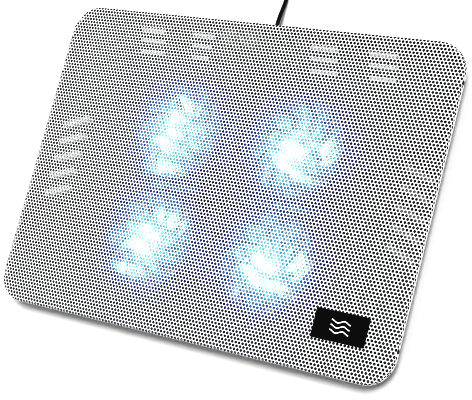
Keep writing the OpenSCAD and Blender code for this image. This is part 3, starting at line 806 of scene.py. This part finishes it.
def make_badge():
    """A thin plate on the sheet with a plug in the sheet's window, and the raised waves on it."""
    low, high = box_mm("badge")
    middle = (low + high) / 2
    width, depth = (high - low).xy
    plug = BADGE_LIP + BADGE_OVERLAP + 0.1
    layers = [(TOP_Z - SHEET_T, plug), (TOP_Z, plug), (TOP_Z, BADGE_LIP),
              (BADGE_TOP - BADGE_EDGE, BADGE_LIP), (BADGE_TOP, BADGE_LIP + BADGE_EDGE)]
    plate = placed(slab(width, depth, BADGE_CORNER + BADGE_LIP, layers), (middle.x, middle.y, 0))
    paint = Paint("badge_gloss", (0.002, 0.002, 0.0025), 0.2, Specular_IOR_Level=0.2)
    paint.mottle(40, 0.1)
    plate = mesh_piece("badge_plate", plate, 10)
    finish_piece(plate, "badge_gloss", replaces=("badge",), material=paint.material)
    wave = wave_shell(WAVE_WIDTH, WAVE_LENGTH)
    waves = [placed(wave, (middle.x, middle.y + k * WAVE_STEP, BADGE_TOP)) for k in (-1, 0, 1)]
    waves = mesh_piece("badge_waves", joined(waves))
    finish_piece(waves, "louvre_plastic", material=MATERIALS["mark_white"])


make_badge()

# ---------- screws, feet and legs ----------

SIDE_SCREW = [(0.05, -7.5), (1.0, -7.5), (1.0, -0.05), (1.7, -0.05), (1.7, 0.25), (1.35, 0.45), (0.8, 0.5),
              (0.8, 0.05), (0.05, 0.05)]
FOOT = [(0.05, 0.3), (4.3, 0.3), (4.6, 0.0), (6.5, 0.0), (6.85, 0.15), (7.0, 0.5), (7.0, 2.6), (0.05, 2.6)]
RIB_L = 18
RIB_W = 1.4
RIB_H = 0.8
RIB_EDGE = 0.2
RIB_COUNT = 5
RIB_STEP = 4
RIB_START = 10
RECESS_Z = 0.3


def make_side_screws():
    """Round heads on both side edges, with their shanks inside."""
    _, high = box_mm("cover_screws")
    heads = []
    for side in (-1, 1):
        for y in (-SCREW_Y, SCREW_Y):
            heads.append(placed(turned(SIDE_SCREW), (side * high.x, y, SCREW_Z), 90 * side, "Y"))
    finish_piece(mesh_piece("side_screws", joined(heads)), "black_steel", replaces=("cover_screws",))


def node_islands(node):
    """The middles of a node's separate solids, in millimetres."""
    work = bmesh.new()
    work.from_mesh(nodes[node].data)
    bmesh.ops.remove_doubles(work, verts=work.verts, dist=0.001 * MM)
    middles, seen = [], set()
    for start in work.verts:
        if start in seen:
            continue
        island, front = {start}, [start]
        while front:
            for edge in front.pop().link_edges:
                for vert in edge.verts:
                    if vert not in island:
                        island.add(vert)
                        front.append(vert)
        seen |= island
        low = Vector([min(v.co[k] for v in island) for k in range(3)])
        high = Vector([max(v.co[k] for v in island) for k in range(3)])
        middles.append((low + high) / 2 / MM)
    work.free()
    return middles


def make_feet():
    """Turned feet with a dished underside."""
    feet = [placed(turned(FOOT), (middle.x, middle.y, 0)) for middle in node_islands("rubber_feet")]
    finish_piece(mesh_piece("feet", joined(feet)), "foot_rubber", replaces=("rubber_feet",))


def make_leg(side):
    """A leg with softened edges, ribs in its recess and a softened rubber tip."""
    low, high = box_mm(f"leg_{side}")
    middle = (low + high) / 2
    body = f"leg_{side}"
    finish_piece(softened(f"{body}_plate", body, 0.5), "leg_plastic", body, (body,))
    rib = slab(RIB_L, RIB_W, 0.5, [(0, 0), (RIB_H - RIB_EDGE, 0), (RIB_H, RIB_EDGE)])
    ribs = [placed(rib, (middle.x, low.y + RIB_START + RIB_STEP * k, low.z + RECESS_Z))
            for k in range(RIB_COUNT)]
    finish_piece(mesh_piece(f"{body}_ribs", joined(ribs)), "leg_plastic", body)
    tip = f"leg_tip_{side}"
    finish_piece(softened(f"{tip}_soft", tip, 0.6), "foot_rubber", body, (tip,))


make_side_screws()
make_feet()
make_leg("left")
make_leg("right")

# ---------- switch and the lead's fittings ----------

RELIEF = [(0.05, -3.2), (3.4, -3.2), (3.4, -1.8), (2.6, -1.8), (2.6, 0), (2.9, 0), (2.9, 0.8), (2.35, 1.0),
          (2.35, 1.5), (2.65, 1.7), (2.6, 2.4), (2.1, 2.6), (2.1, 3.1), (2.4, 3.3), (2.3, 4.0), (1.9, 4.2),
          (2.0, 5.0), (0.05, 5.0)]
PLUG_RELIEF = [(0.05, 0), (2.1, 0), (2.2, 0.9), (1.85, 1.1), (1.85, 1.6), (2.4, 1.8), (2.5, 2.7),
               (2.1, 2.9), (2.1, 3.4), (2.7, 3.6), (2.8, 4.5), (2.4, 4.7), (2.4, 5.2), (3.0, 5.4),
               (3.0, 8.4), (0.05, 8.4)]
PLUG_NECK = 8.0
GRIP_GROOVES = 6
GRIP_PITCH = 2.2
GRIP_DEPTH = 0.4
GRIP_START = 6.5
GRIP_R = 2.8
TONGUE = (15.2, 11, 0.4)
TONGUE_X = 8.8
TONGUE_Z = 0.45
CONTACT = (8.4, 1.1, 0.3)
CONTACT_X = 6
CONTACT_Z = 2.1
CONTACT_ROWS = (-3.6, -1.2, 1.2, 3.6)
RIDGE = (0.45, 1.9, 0.15)
RIDGE_ROWS = (-0.9, 0, 0.9)
TIE_FROM = 200
TIE_ANGLE = 16
TIE_T = 0.5
TIE_STEPS = 8


def plug_layers(length):
    """Layers of the plug's grip: a rounded back, a row of grooves and a softened front."""
    layers = [(0, 2.0), (0.3, 1.1), (1.0, 0.4), (2.0, 0.0)]
    for k in range(GRIP_GROOVES):
        at = GRIP_START + k * GRIP_PITCH
        layers += [(at, 0), (at + 0.3, GRIP_DEPTH), (at + 0.9, GRIP_DEPTH), (at + 1.2, 0)]
    return layers + [(length - 0.8, 0), (length - 0.3, 0.25), (length, 0.8)]


def make_plug():
    """The plug's grip with its ribbed neck, and the tongue and contacts in its metal shell."""
    low, high = box_mm("plug_body")
    middle = (low + high) / 2
    width, height = (high - low).yz
    length = high.x - low.x - PLUG_NECK
    block = slab(height, width, GRIP_R, plug_layers(length))
    grip = placed(block, (high.x - PLUG_NECK, middle.y, middle.z), -90, "Y")
    neck = placed(turned(PLUG_RELIEF), (high.x, middle.y, middle.z), -90, "Y")
    finish_piece(mesh_piece("plug_grip", joined([grip, neck])), "plug_plastic", replaces=("plug_body",))
    mouth, _ = box_mm("plug_shell")
    tongue = slab(*TONGUE, [(0, 0), (1.4, 0), (1.7, 0.3)])
    tongue = placed(tongue, (mouth.x + TONGUE_X, middle.y, mouth.z + TONGUE_Z))
    finish_piece(mesh_piece("plug_tongue", tongue), "black_plastic")
    contact = slab(*CONTACT, [(0, 0), (0.2, 0), (0.3, 0.1)])
    contacts = [placed(contact, (mouth.x + CONTACT_X, middle.y + y, mouth.z + CONTACT_Z))
                for y in CONTACT_ROWS]
    finish_piece(mesh_piece("plug_contacts", joined(contacts)), "brass")


def make_strain_relief():
    """A ribbed sleeve that ends where the lead leaves it."""
    x, y, z = EXIT
    sleeve = placed(turned(RELIEF), (x, y - RELIEF[-1][1], z), -90, "X")
    return finish_piece(mesh_piece("lead_relief", sleeve), "cable_jacket", replaces=("strain_relief",))


def make_tie():
    """A strap round the strands of the coil, as a closed band."""
    radius = (COIL_START[0] + COIL_STEPS[0][1]) / 2
    height = (COIL_START[1] + COIL_STEPS[1][2]) / 2
    side = 2 * CABLE_D
    loops = []
    for k in range(TIE_STEPS + 1):
        angle = radians(TIE_FROM + TIE_ANGLE * k / TIE_STEPS)
        way = Vector((cos(angle), sin(angle), 0))
        middle = Vector((*COIL_CENTRE, height))
        for grow in (0, TIE_T):
            outline = rounded_loop(side + 2 * grow, side + 2 * grow, CABLE_D / 2 + grow)
            loops.append([tuple(middle + way * (radius + u) + Vector((0, 0, v))) for u, v in outline])
    count = len(loops[0])
    points = [p for loop in loops for p in loop]
    faces = []
    for k in range(TIE_STEPS):
        for j in range(count):
            a, b = 2 * k * count + j, 2 * k * count + (j + 1) % count
            c, d = a + count, b + count
            faces += [(a, b, b + 2 * count, a + 2 * count), (d, c, c + 2 * count, d + 2 * count)]
    for first in (0, 2 * TIE_STEPS * count):
        for j in range(count):
            a, b = first + j, first + (j + 1) % count
            faces.append((a, b, b + count, a + count))
    return finish_piece(mesh_piece("coil_strap", (points, faces)), "cable_tie", replaces=("cable_tie",))


def make_knob():
    """The switch's knob with three ridges across it."""
    low, high = box_mm("switch_knob")
    knob = softened("switch_knob_soft", "switch_knob", 0.25)
    finish_piece(knob, "knob_plastic", "switch", ("switch_knob",))
    middle = (low + high) / 2
    ridge = slab(*RIDGE, [(0, 0), (0.25, 0), (0.4, 0.15)])
    ridges = [placed(ridge, (middle.x + x, high.y - 0.05, middle.z), -90, "X") for x in RIDGE_ROWS]
    finish_piece(mesh_piece("switch_ridges", joined(ridges)), "knob_plastic", "switch")


make_plug()
relief = make_strain_relief()
tie = make_tie()
make_knob()

# ---------- CAD nodes that stay ----------


def dress_nodes():
    """Every CAD node takes its slot's material; the right louvres take a darker copy as painted shade, and
    the tray and the fan frames get the fans' light painted on as emission.
    """
    for part in frame["record"]["subparts"]:
        slot = part["material_slot"]
        if slot in MATERIALS:
            node = nodes[part["node"]]
            node.data.materials.clear()
            node.data.materials.append(MATERIALS[slot])
    # Painted shade: the right louvres take the darker grey copy
    nodes["vent_louvres_right"].data.materials[0] = MATERIALS["dim_louvre_plastic"]
    # Painted light: the fans' glow is painted on each fan frame as emission
    for number in FAN_NUMBERS:
        paint = Paint(f"fan_frame_lit_{number}", (0.02, 0.021, 0.026), 0.38)
        paint.mottle(60, 0.12)
        paint.grain(900, 0.12)
        nodes[f"fan_frame_{number}"].data.materials[0] = Glow(paint).fan(number, FRAME_SHARE).finish()
    # Painted light: the fans' glow is painted on the tray as emission, faded out on faces that look down
    paint = Paint("tray_black_lit", TRAY_COLOUR, 0.55)
    paint.mottle(60, 0.12)
    paint.grain(1500, 0.25)
    nodes["base_shell"].data.materials[0] = Glow(paint).all_fans(TRAY_SHARE).shade_below().finish()


dress_nodes()

# ---------- floor and studio light ----------


FLOOR_HALF = 3.0
# Between these heights of the sky, as the Z of a direction, it goes from its horizon to its zenith
SKY_BAND = (0.1, 0.2)


def make_floor():
    """A plain white floor."""
    corners = [(x * FLOOR_HALF, y * FLOOR_HALF, 0) for x, y in ((-1, -1), (1, -1), (1, 1), (-1, 1))]
    mesh = bpy.data.meshes.new("floor")
    mesh.from_pydata(corners, [], [(0, 1, 2, 3)])
    floor = bpy.data.objects.new("floor", mesh)
    paint = Paint("floor_white", (0.93, 0.93, 0.93), 0.6)
    mesh.materials.append(paint.material)
    bpy.context.scene.collection.objects.link(floor)


def sun_light(strength, towards, spread):
    """A broad soft lamp far above, shining from the direction `towards`."""
    data = bpy.data.lights.new("key", "SUN")
    data.energy = strength
    data.angle = spread
    lamp = bpy.data.objects.new("key", data)
    lamp.rotation_mode = "QUATERNION"
    lamp.rotation_quaternion = Vector(towards).to_track_quat("Z", "Y")
    bpy.context.scene.collection.objects.link(lamp)


def make_world(horizon, zenith):
    """A plain studio sky, brighter near the horizon."""
    world = bpy.data.worlds.new("studio")
    world.use_nodes = True
    tree = world.node_tree
    place = tree.nodes.new("ShaderNodeTexCoord")
    split = tree.nodes.new("ShaderNodeSeparateXYZ")
    rise = tree.nodes.new("ShaderNodeMapRange")
    rise.interpolation_type = "SMOOTHSTEP"
    rise.inputs["From Min"].default_value = SKY_BAND[0]
    rise.inputs["From Max"].default_value = SKY_BAND[1]
    rise.inputs["To Min"].default_value = horizon
    rise.inputs["To Max"].default_value = zenith
    tree.links.new(place.outputs["Generated"], split.inputs["Vector"])
    tree.links.new(split.outputs["Z"], rise.inputs["Value"])
    tree.links.new(rise.outputs["Result"], tree.nodes["Background"].inputs["Strength"])
    tree.nodes["Background"].inputs["Color"].default_value = (1, 1, 1, 1)
    bpy.context.scene.world = world


make_floor()
make_world(horizon=1.05, zenith=0.42)
sun_light(strength=2.8, towards=(0.31, 0.16, 0.93), spread=0.28)
bpy.context.scene.view_settings.view_transform = "Standard"
bpy.context.scene.view_settings.gamma = 0.78
bpy.context.scene.cycles.filter_width = 0.85
bpy.context.scene.cycles.denoising_prefilter = "NONE"
